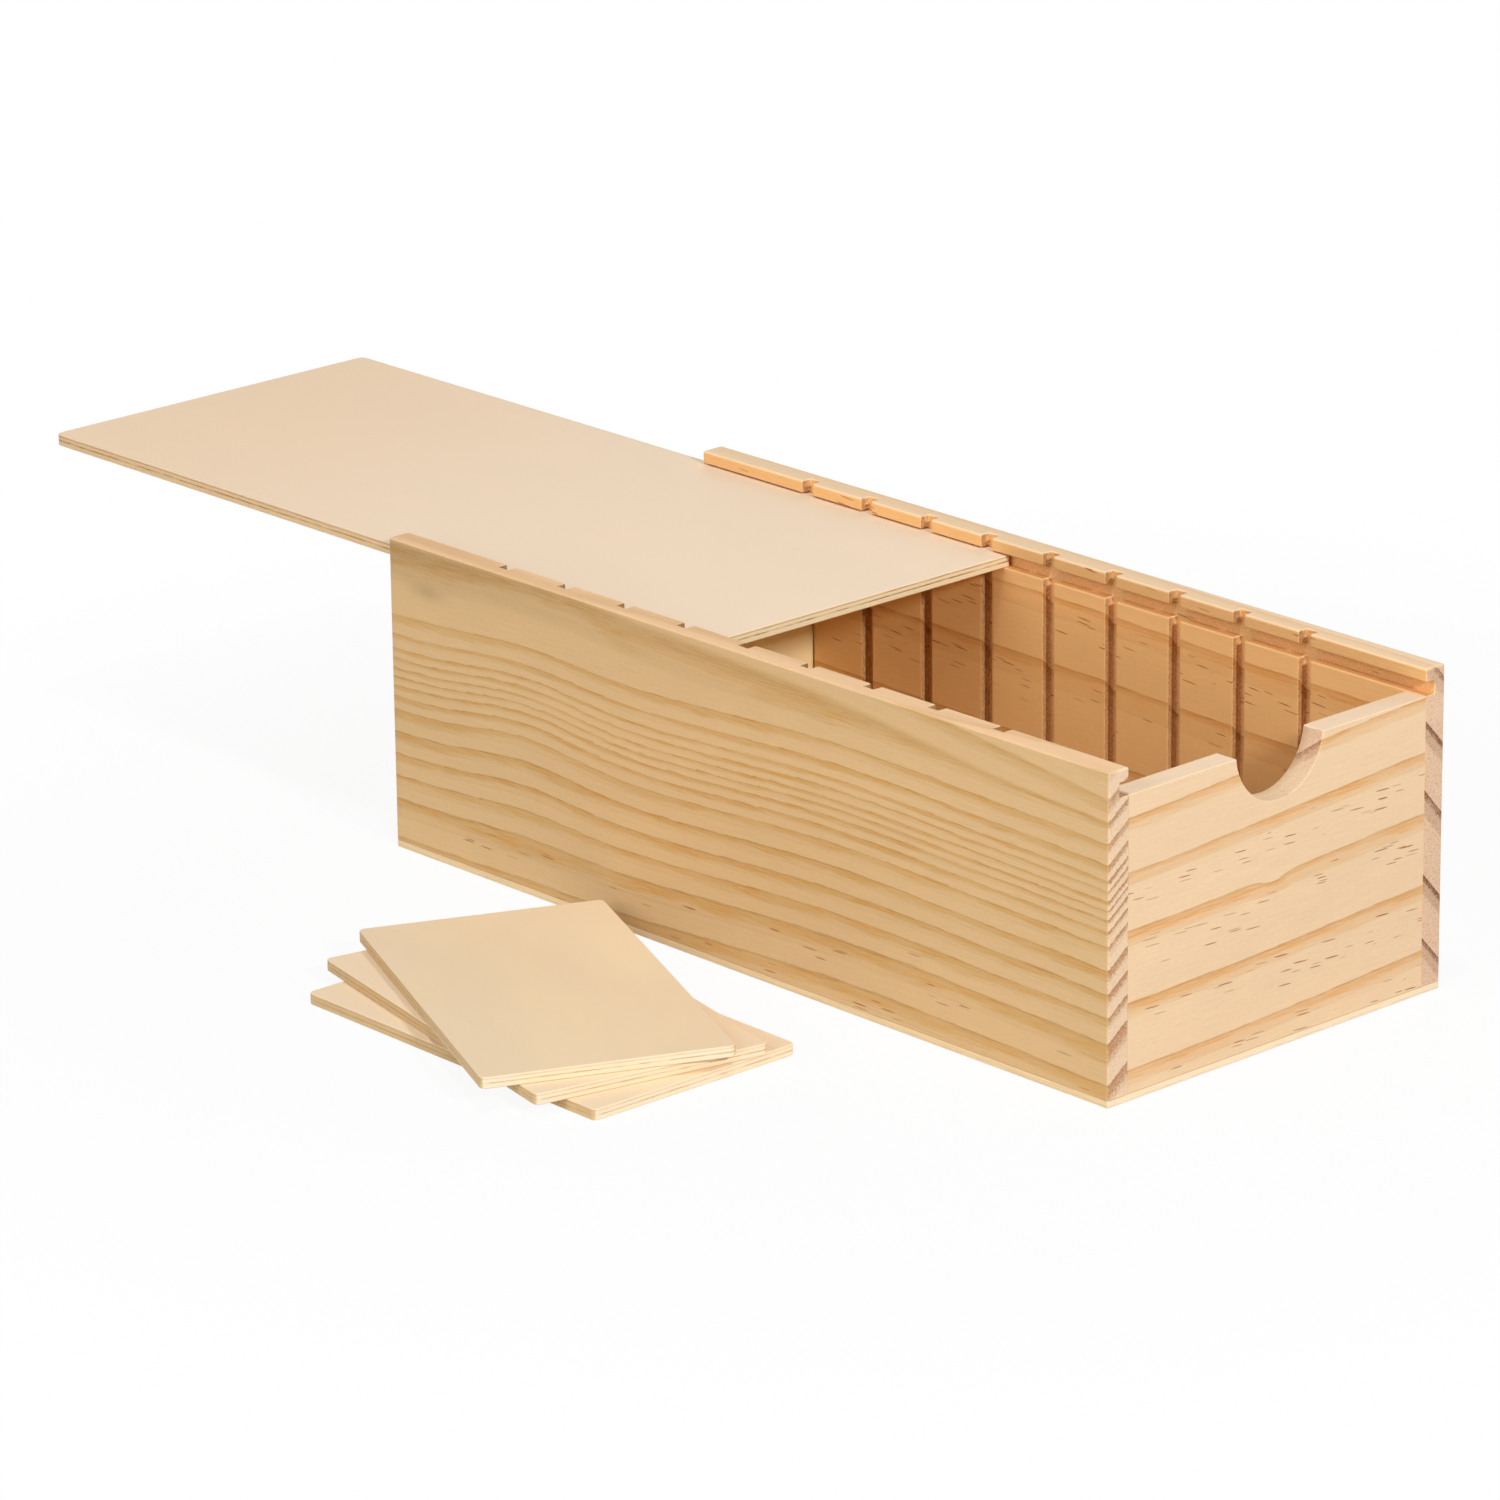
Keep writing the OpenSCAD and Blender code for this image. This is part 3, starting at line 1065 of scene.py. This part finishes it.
class CARDBOX_OT_side_boards(bpy.types.Operator):
    """Make both side boards, with their lid grooves and divider slots"""

    bl_idname = "cardbox.side_boards"
    bl_label = "Side boards"

    def execute(self, context):
        colours = context.scene.card_box_colours
        left = pine_material(
            "Left board pine",
            "side_left",
            colours.side_early,
            colours.side_late,
            colours.side_top,
            (colours.cross_early, colours.cross_late),
            lean=0.74,
            rise=0.0,
            rings=(
                *(5, 21, 30.5, 39.5, 48.5, 57.5, 63, 67.5, 71),
                *(74.5, 78.5, 82.5, 88.5, 96.5, 127, 138, 150, 163),
            ),
            swells=(
                (-67.0, 110.0, 60.0, FULL_HEIGHT, 7.5),
                (118.0, 44.0, 68.0, 46.0, 6.5),
                (-190.0, 60.0, 60.0, FULL_HEIGHT, 2.2),
            ),
            drift=1.5,
            ragged=1.7,
            sag=(90.0, 0.085, 97.0, 107.0),
            stains=((190.0, 150.0, 123.0, 10.0, 0.2), (174.0, 9.0, 109.5, 3.0, 0.2)),
            dashes=(0.1, 14.0, 42.0),
            offset=(0.0, 0.0, 0.0),
            dark_share=0.32,
            pale_share=0.46,
            pale_tone=0.2,
            crisp=0.04,
            dash_slant=0.0,
            pores=0.12,
        )
        right = pine_material(
            "Right board pine",
            "side_right",
            colours.right_early_and_warm_light,
            colours.right_late_and_warm_light,
            colours.right_top,
            (colours.brown_early, colours.brown_late),
            lean=1.1,
            rise=-0.018,
            rings=(15.5, 40.5, 73, 100, 126),
            swells=(),
            drift=3.0,
            ragged=1.1,
            offset=(310.0, 140.0, 90.0),
            fade=(95.0, 125.0, 0.6),
            stains=((-20.0, 260.0, 110.5, 6.5, -0.12),),
            dark_share=0.12,
            pale_share=0.3,
            pale_tone=0.35,
            crisp=0.02,
            dashes=(0.13, *NO_END),
            dash_slant=0.07,
            pores=0.24,
        )
        self.board("left_board", "side_left", (-1, 0, 0), left, context)
        self.board("right_board", "side_right", (1, 0, 0), right, context)
        return {"FINISHED"}

    def board(self, name, node, outward, material, context):
        """One side board, made in its own frame."""
        sizes = context.scene.card_box_boards
        low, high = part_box(node)
        thick, long = high.x - low.x, high.y - low.y
        floor_x = thick - sizes.groove_depth
        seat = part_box("front_end")[1].z
        ceiling = high.z - sizes.lip_height
        slots = self.slot_spans(sizes)
        along = self.cuts_along(sizes, slots, long)
        ups = self.cuts_up(low.z, seat, ceiling, high.z)
        cuts = ([0.0, floor_x, thick], along, ups)

        def in_slot(y):
            return any(start < y < end for start, end in slots)

        def solid(i, j, k):
            if i == 0:
                return True
            y = (along[j] + along[j + 1]) / 2
            z = (ups[k] + ups[k + 1]) / 2
            return not (seat < z < ceiling or in_slot(y))

        mesh = bmesh.new()
        wrap_cells(mesh, cuts, solid)
        tiny = EDGE_ROOM / 4
        # Each cut face's share of the cutter's marks and of the painted shade
        routed = mesh.faces.layers.float.new("routed")
        for face in mesh.faces:
            middle = face.calc_center_median()
            if middle.x < floor_x - tiny:
                continue
            if seat - tiny < middle.z < ceiling + tiny:
                face[routed] = GROOVE_MARKS_AND_SHADE
                continue
            if min(abs(middle.y - edge) for pair in slots for edge in pair) < tiny:
                face[routed] = SLOT_WALL_MARKS_AND_SHADE
            elif in_slot(middle.y):
                face[routed] = SLOT_FLOOR_MARKS_AND_SHADE

        outer = sizes.edge_round

        def radius_of(edge):
            ends = [vert.co for vert in edge.verts]
            at_end = all(abs(end.y) > long / 2 - tiny for end in ends)
            if all(end.z > high.z - tiny for end in ends):
                on_face = all(end.x < tiny or end.x > thick - tiny for end in ends)
                return outer if on_face or at_end else sizes.arris_round
            if all(end.x < tiny for end in ends) and ends[0].z + ends[1].z > 2 * low.z + tiny:
                return outer
            if at_end and all(end.z < seat + tiny for end in ends):
                return sizes.joint_round
            if all(end.z < low.z + tiny for end in ends):
                return sizes.joint_round
            return sizes.arris_round

        mark_edges(mesh, radius_of, outer)
        self.wear(mesh, sizes, slots, ceiling, high.z, thick, node)
        place = standing_on(node, outward)
        make_piece(name, mesh, outer, material, place, "box", node)

    def slot_spans(self, sizes):
        """Where each divider slot starts and ends along the board."""
        spans = []
        for index in range(sizes.slot_count):
            centre = (index - (sizes.slot_count - 1) / 2) * sizes.slot_pitch
            spans.append((centre - sizes.slot_width / 2, centre + sizes.slot_width / 2))
        return spans

    def cuts_along(self, sizes, slots, long):
        """Where the board is cut into cells along its length."""
        half = long / 2
        cuts = {-half, -half + 2 * EDGE_ROOM, half - 2 * EDGE_ROOM, half}
        beside = sizes.slot_pitch * MIDDLE_SHARE
        for start, end in slots:
            cuts.update((start - EDGE_ROOM, start, end, end + EDGE_ROOM))
            cuts.update((start - beside, end + beside))
        return sorted(cuts)

    def cuts_up(self, base, seat, ceiling, top):
        """Where the board is cut into cells up its height, with even rows below the lid groove."""
        cuts = [base, base + 2 * EDGE_ROOM]
        for row in range(1, BOARD_ROWS):
            cuts.append(base + (seat - base) * row / BOARD_ROWS)
        cuts += [seat - EDGE_ROOM, seat, ceiling, ceiling + EDGE_ROOM, top - EDGE_ROOM, top]
        return cuts

    def wear(self, mesh, sizes, slots, ceiling, top, thick, node):
        """Splinters the lip's corners and wavers the cut edges a little."""
        tiny = 0.01 * MM
        waver = 0.12 * MM
        fineness = 900
        # Bite at the middle of the noise as a share of the deepest one
        middle_bite = 0.15
        # How far a bite runs along the lip as a share of its depth
        bite_run = 0.8
        for vert in mesh.verts:
            if vert.co.x < thick - tiny:
                continue
            roughness = noise.noise(vert.co * fineness + WEAR_SEEDS[node])
            near = [edge for pair in slots for edge in pair if abs(vert.co.y - edge) < tiny]
            if near and (abs(vert.co.z - top) < tiny or abs(vert.co.z - ceiling) < tiny):
                bite = sizes.chip_size * max(0.0, roughness + middle_bite)
                away = -1 if any(abs(vert.co.y - pair[0]) < tiny for pair in slots) else 1
                vert.co.x -= bite
                vert.co.y += away * bite * bite_run
            elif near:
                vert.co.x -= waver * abs(roughness)


class CARDBOX_OT_end_boards(bpy.types.Operator):
    """Make the front board with its finger notch, and the plain back board"""

    bl_idname = "cardbox.end_boards"
    bl_label = "End boards"

    def execute(self, context):
        colours = context.scene.card_box_colours
        front = pine_material(
            "Front board pine",
            "front_end",
            colours.end_early,
            colours.end_late,
            colours.end_top,
            (colours.notch_early, colours.notch_late),
            lean=-0.73,
            rise=-0.015,
            rings=(13.3, 38.8, 66.8, 90.3, 111.8, 134),
            swells=(
                (-90.0, 70.0, 60.0, FULL_HEIGHT, 3.5),
                (80.0, 60.0, 105.0, 30.0, -2.8),
                (2.5, 7.0, 65.5, 6.0, -2.2),
            ),
            drift=1.5,
            ragged=1.2,
            fade=(15.0, 115.0, 0.88),
            offset=(120.0, 75.0, 33.0),
            dark_share=0.13,
            pale_share=0.22,
            pale_tone=0.5,
            crisp=0.018,
            dashes=(0.16, 80.0, 108.0),
            dash_slant=-0.05,
            pores=0.04,
        )
        back = pine_material(
            "Back board pine",
            "back_end",
            colours.end_early,
            colours.end_late,
            colours.end_top,
            (colours.cross_early, colours.cross_late),
            lean=-0.3,
            rise=0.03,
            rings=(12, 31, 50, 66, 78, 88, 97, 110),
            swells=((30.0, 60.0, 60.0, 50.0, 4.0),),
            drift=4.0,
            ragged=1.2,
            offset=(520.0, 250.0, 410.0),
            dark_share=0.16,
            pale_share=0.3,
            pale_tone=0.4,
            crisp=0.025,
            dashes=(0.05, *NO_END),
            dash_slant=0.02,
            pores=0.1,
        )
        self.board("front_board", "front_end", (0, -1, 0), front, True, context)
        self.board("back_board", "back_end", (0, 1, 0), back, False, context)
        return {"FINISHED"}

    def board(self, name, node, outward, material, notched, context):
        """One end board, drawn as its outer face and carried through its thickness."""
        sizes = context.scene.card_box_boards
        low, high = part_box(node)
        half = (high.x - low.x) / 2
        thick = high.y - low.y
        points = [(-half, low.z), (half, low.z), (half, high.z)]
        if notched:
            radius, rise = sizes.notch_radius, sizes.notch_rise
            open_half = math.acos(rise / radius)
            for step in range(NOTCH_STEPS + 1):
                turn = open_half * (1 - 2 * step / NOTCH_STEPS)
                across = radius * math.sin(turn)
                points.append((across, high.z + rise - radius * math.cos(turn)))
        points.append((-half, high.z))
        mesh = bmesh.new()
        extrude_outline(mesh, points, thick, 0)
        outer = sizes.end_round
        tiny = 0.01 * MM
        # The notch takes a share of the cutter's marks and of the painted shade
        routed = mesh.faces.layers.float.new("routed")
        for face in mesh.faces:
            middle = face.calc_center_median()
            in_notch = low.z + tiny < middle.z < high.z - tiny and abs(middle.y) < half - tiny
            if notched and in_notch and len(face.verts) == 4:
                face[routed] = NOTCH_MARKS_AND_SHADE

        def radius_of(edge):
            ends = [vert.co for vert in edge.verts]
            if any(end.z < low.z + tiny for end in ends):
                return sizes.joint_round
            if all(abs(end.y) > half - tiny for end in ends):
                return sizes.joint_round
            return outer

        mark_edges(mesh, radius_of, outer)
        place = standing_on(node, outward)
        make_piece(name, mesh, outer, material, place, "box", node)


def panel_mesh(width, long, thick, corner, rim):
    """A flat panel with round corners and rounded rims, standing on its underside."""
    mesh = bmesh.new()
    extrude_outline(mesh, plate_outline(width, long, corner), thick, 2)
    mark_edges(mesh, lambda edge: rim, rim)
    return mesh


class CARDBOX_OT_bottom_panel(bpy.types.Operator):
    """Make the plywood bottom panel"""

    bl_idname = "cardbox.bottom_panel"
    bl_label = "Bottom panel"

    def execute(self, context):
        sizes = context.scene.card_box_panels
        low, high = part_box("bottom")
        size = high - low
        colours = context.scene.card_box_colours
        material = ply_material(
            "Bottom ply",
            colours.bottom_face,
            colours.bottom_face,
            colours.ply_edge,
            colours.bottom_side,
            size.z,
            ALL_PLAIN,
            upper_line=0.62,
            upper_tone=0.15,
            lower_line=0.3,
            lower_tone=0.3,
        )
        rim = sizes.rim_round
        mesh = panel_mesh(size.x, size.y, size.z, sizes.bottom_corner, rim)
        middle = (low + high) / 2
        place = Matrix.Translation((middle.x, middle.y, low.z))
        make_piece("bottom_panel", mesh, rim, material, place, "box", "bottom")
        return {"FINISHED"}


class CARDBOX_OT_lid(bpy.types.Operator):
    """Make the sliding plywood lid, tilted a little so that its left edge lifts as the slight warp does
    """

    bl_idname = "cardbox.lid"
    bl_label = "Sliding lid"

    def execute(self, context):
        sizes = context.scene.card_box_panels
        low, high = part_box("lid")
        size = high - low
        colours = context.scene.card_box_colours
        material = ply_material(
            "Lid ply",
            colours.lid_face,
            colours.lid_warm,
            colours.lid_edge,
            colours.lid_side,
            size.z,
            (-40.0, 190.0),
            upper_line=0.83,
            upper_tone=0.75,
            lower_line=0.48,
            lower_tone=1.0,
        )
        rim = sizes.rim_round
        mesh = panel_mesh(size.x, size.y, size.z, sizes.lid_corner, rim)
        roll = math.asin(sizes.lid_lift / size.x)
        seat = Matrix.Translation((high.x, (low.y + high.y) / 2, low.z))
        place = seat @ Matrix.Rotation(roll, 4, "Y") @ Matrix.Translation((-size.x / 2, 0, 0))
        make_piece("sliding_lid", mesh, rim, material, place, "lid", "lid")
        return {"FINISHED"}


class CARDBOX_OT_dividers(bpy.types.Operator):
    """Make the standing divider and the three loose ones, fanned in a stack"""

    bl_idname = "cardbox.dividers"
    bl_label = "Dividers"

    def execute(self, context):
        sizes = context.scene.card_box_panels
        turns = {
            "lower": sizes.lower_turn,
            "middle": sizes.middle_turn,
            "upper": sizes.upper_turn,
        }
        lid_low, lid_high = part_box("lid")
        width = lid_high.x - lid_low.x
        rim = sizes.rim_round
        colours = context.scene.card_box_colours
        for level, turn in turns.items():
            node = "divider_" + level
            low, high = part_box(node)
            thick = high.z - low.z
            face = colours.divider_face if level == "upper" else colours.divider_pale
            material = self.ply(level.title() + " divider ply", face, thick, ALL_PLAIN, colours)
            mesh = panel_mesh(sizes.divider_height, width, thick, sizes.divider_corner, rim)
            middle = (low + high) / 2
            place = Matrix.Translation((middle.x, middle.y, low.z)) @ Matrix.Rotation(turn, 4, "Z")
            make_piece(level + "_divider", mesh, rim, material, place, node, node)
        self.standing(sizes, width, colours)
        return {"FINISHED"}

    def ply(self, name, face, thick, warm_span, colours):
        """Divider plywood, with its own material for each divider."""
        return ply_material(
            name,
            face,
            colours.divider_warm_and_painted_light,
            colours.ply_edge,
            colours.divider_side,
            thick,
            warm_span,
            upper_line=0.82,
            upper_tone=0.4,
            lower_line=0.46,
            lower_tone=0.6,
        )

    def standing(self, sizes, width, colours):
        """The divider that stands in the rearmost slots."""
        low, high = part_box("divider_standing")
        thick = high.y - low.y
        face = colours.divider_face
        # All its veneer takes the warm colour: painted light, brighter and warmer, for the bounce light
        # in the shade under the lid
        material = self.ply("Standing divider ply", face, thick, ALL_WARM_PAINTED_LIGHT, colours)
        mesh = panel_mesh(high.z - low.z, width, thick, sizes.divider_corner, sizes.rim_round)
        middle = (low + high) / 2
        up_right = Matrix(((0, 1, 0), (0, 0, 1), (1, 0, 0))).to_4x4()
        place = Matrix.Translation((middle.x, low.y, middle.z)) @ up_right
        make_piece(
            "standing_divider",
            mesh,
            sizes.rim_round,
            material,
            place,
            "divider_standing",
            "divider_standing",
        )


def seen_straight(wiring):
    """1 for what the camera sees straight, in a mirror or through glass, and 0 for light."""
    path = wiring.node("ShaderNodeLightPath").outputs
    seen = wiring.math("MAXIMUM", path["Is Camera Ray"], path["Is Glossy Ray"])
    return wiring.math("MAXIMUM", seen, path["Is Transmission Ray"])


class CARDBOX_OT_stage(bpy.types.Operator):
    """Set the floor, the soft light and the camera"""

    bl_idname = "cardbox.stage"
    bl_label = "Stage"

    def execute(self, context):
        look = context.scene.card_box_stage
        self.floor(look)
        self.world(look)
        # Each lamp's name, power, place and width in metres, and whether it gives a sheen
        lamps = (
            ("Top light", look.top_power, (-0.3825, -0.3825, 2.55), 0.2, True),
            ("Front light", look.front_power, (-0.48, -2.064, 1.188), 0.19, True),
            ("Left light", look.left_power, (-1.74, 0.0, 0.8), 1.2, True),
            ("Back light", look.back_power, (1.5, 1.5, 0.95), 0.9, False),
        )
        for lamp in lamps:
            self.soft_box(*lamp)
        self.camera(look)
        context.scene.view_settings.view_transform = "Standard"
        return {"FINISHED"}

    def floor(self, look):
        """A wide pale floor just under the box, white to the camera where no shadow falls."""
        reach = 8.0
        drop = 0.1 * MM
        # Distances from the box between which the floor turns plain white to the camera
        paling_start = 0.25
        paling_end = 0.6
        mesh = bmesh.new()
        corners = ((-1, -1), (1, -1), (1, 1), (-1, 1))
        mesh.faces.new([mesh.verts.new((reach * x, reach * y, -drop)) for x, y in corners])
        data = bpy.data.meshes.new("floor")
        mesh.to_mesh(data)
        mesh.free()
        floor = bpy.data.objects.new("floor", data)
        bpy.context.scene.collection.objects.link(floor)
        material, w, shader = new_material("Pale floor")
        shader.inputs["Base Color"].default_value = rgba(look.floor_colour)
        shader.inputs["Roughness"].default_value = 0.9
        shader.inputs["Specular IOR Level"].default_value = 0.0
        white = w.node("ShaderNodeEmission")
        far = w.node("ShaderNodeVectorMath", operation="LENGTH")
        w.feed(far.inputs[0], w.node("ShaderNodeTexCoord").outputs["Object"])
        paling = w.step(far.outputs["Value"], paling_start, paling_end, look.floor_white, 1.0)
        mixed = w.node("ShaderNodeMixShader")
        w.feed(mixed.inputs[0], w.times(seen_straight(w), paling))
        w.feed(mixed.inputs[1], shader.outputs[0])
        w.feed(mixed.inputs[2], white.outputs[0])
        w.feed(material.node_tree.nodes["Material Output"].inputs["Surface"], mixed.outputs[0])
        data.materials.append(material)

    def world(self, look):
        """Even fill light that shows as plain white."""
        world = bpy.data.worlds.new("Even light")
        world.use_nodes = True
        bpy.context.scene.world = world
        w = Wiring(world.node_tree)
        light = world.node_tree.nodes["Background"]
        light.inputs["Color"].default_value = (1.0, 1.0, 1.0, 1.0)
        w.feed(light.inputs["Strength"], w.scale_to(seen_straight(w), look.fill, 1.0))

    def soft_box(self, name, power, place, size, glossy):
        """A square lamp that faces the box, with or without a sheen on it."""
        data = bpy.data.lights.new(name, "AREA")
        data.energy = power
        data.size = size
        lamp = bpy.data.objects.new(name, data)
        bpy.context.scene.collection.objects.link(lamp)
        facing = (LAMP_TARGET - Vector(place)).to_track_quat("-Z", "Y").to_matrix().to_4x4()
        lamp.matrix_world = Matrix.Translation(place) @ facing
        lamp.visible_glossy = glossy

    def camera(self, look):
        """The camera on its boom round the target."""
        data = bpy.data.cameras.new("Camera")
        data.sensor_width = 36.0
        data.lens = look.lens
        camera = bpy.data.objects.new("Camera", data)
        bpy.context.scene.collection.objects.link(camera)
        camera.matrix_world = (
            Matrix.Translation(look.view_target)
            @ Matrix.Rotation(look.view_azimuth, 4, "Z")
            @ Matrix.Rotation(math.radians(90) - look.view_elevation, 4, "X")
            @ Matrix.Rotation(look.view_roll, 4, "Z")
            @ Matrix.Translation((0.0, 0.0, look.view_distance))
        )
        bpy.context.scene.camera = camera


MAKERS = (
    CARDBOX_OT_side_boards,
    CARDBOX_OT_end_boards,
    CARDBOX_OT_bottom_panel,
    CARDBOX_OT_lid,
    CARDBOX_OT_dividers,
    CARDBOX_OT_stage,
)


class CARDBOX_PT_sidebar(bpy.types.Panel):
    """Sizes, colours and steps of the card box"""

    bl_idname = "CARDBOX_PT_sidebar"
    bl_label = "Card box"
    bl_space_type = "VIEW_3D"
    bl_region_type = "UI"
    bl_category = "Card Box"

    def draw(self, context):
        """Lists the steps, and then every size and colour."""
        for maker in MAKERS:
            self.layout.operator(maker.bl_idname)
        for group in SETTINGS:
            settings = getattr(context.scene, group)
            column = self.layout.column()
            for name in settings.__annotations__:
                column.prop(settings, name)


SETTINGS = {
    "card_box_boards": BoardSizes,
    "card_box_panels": PanelSizes,
    "card_box_colours": WoodColours,
    "card_box_stage": StageLook,
}


def register():
    """Registers the settings, the operators and the panel."""
    for settings in SETTINGS.values():
        bpy.utils.register_class(settings)
    for name, settings in SETTINGS.items():
        setattr(bpy.types.Scene, name, PointerProperty(type=settings))
    for maker in MAKERS:
        bpy.utils.register_class(maker)
    bpy.utils.register_class(CARDBOX_PT_sidebar)


def unregister():
    """Takes back what register did."""
    bpy.utils.unregister_class(CARDBOX_PT_sidebar)
    for maker in reversed(MAKERS):
        bpy.utils.unregister_class(maker)
    for name in SETTINGS:
        delattr(bpy.types.Scene, name)
    for settings in SETTINGS.values():
        bpy.utils.unregister_class(settings)


def main():
    """Makes every piece and the stage."""
    register()
    bpy.ops.cardbox.side_boards()
    bpy.ops.cardbox.end_boards()
    bpy.ops.cardbox.bottom_panel()
    bpy.ops.cardbox.lid()
    bpy.ops.cardbox.dividers()
    bpy.ops.cardbox.stage()


if __name__ == "__main__":
    main()
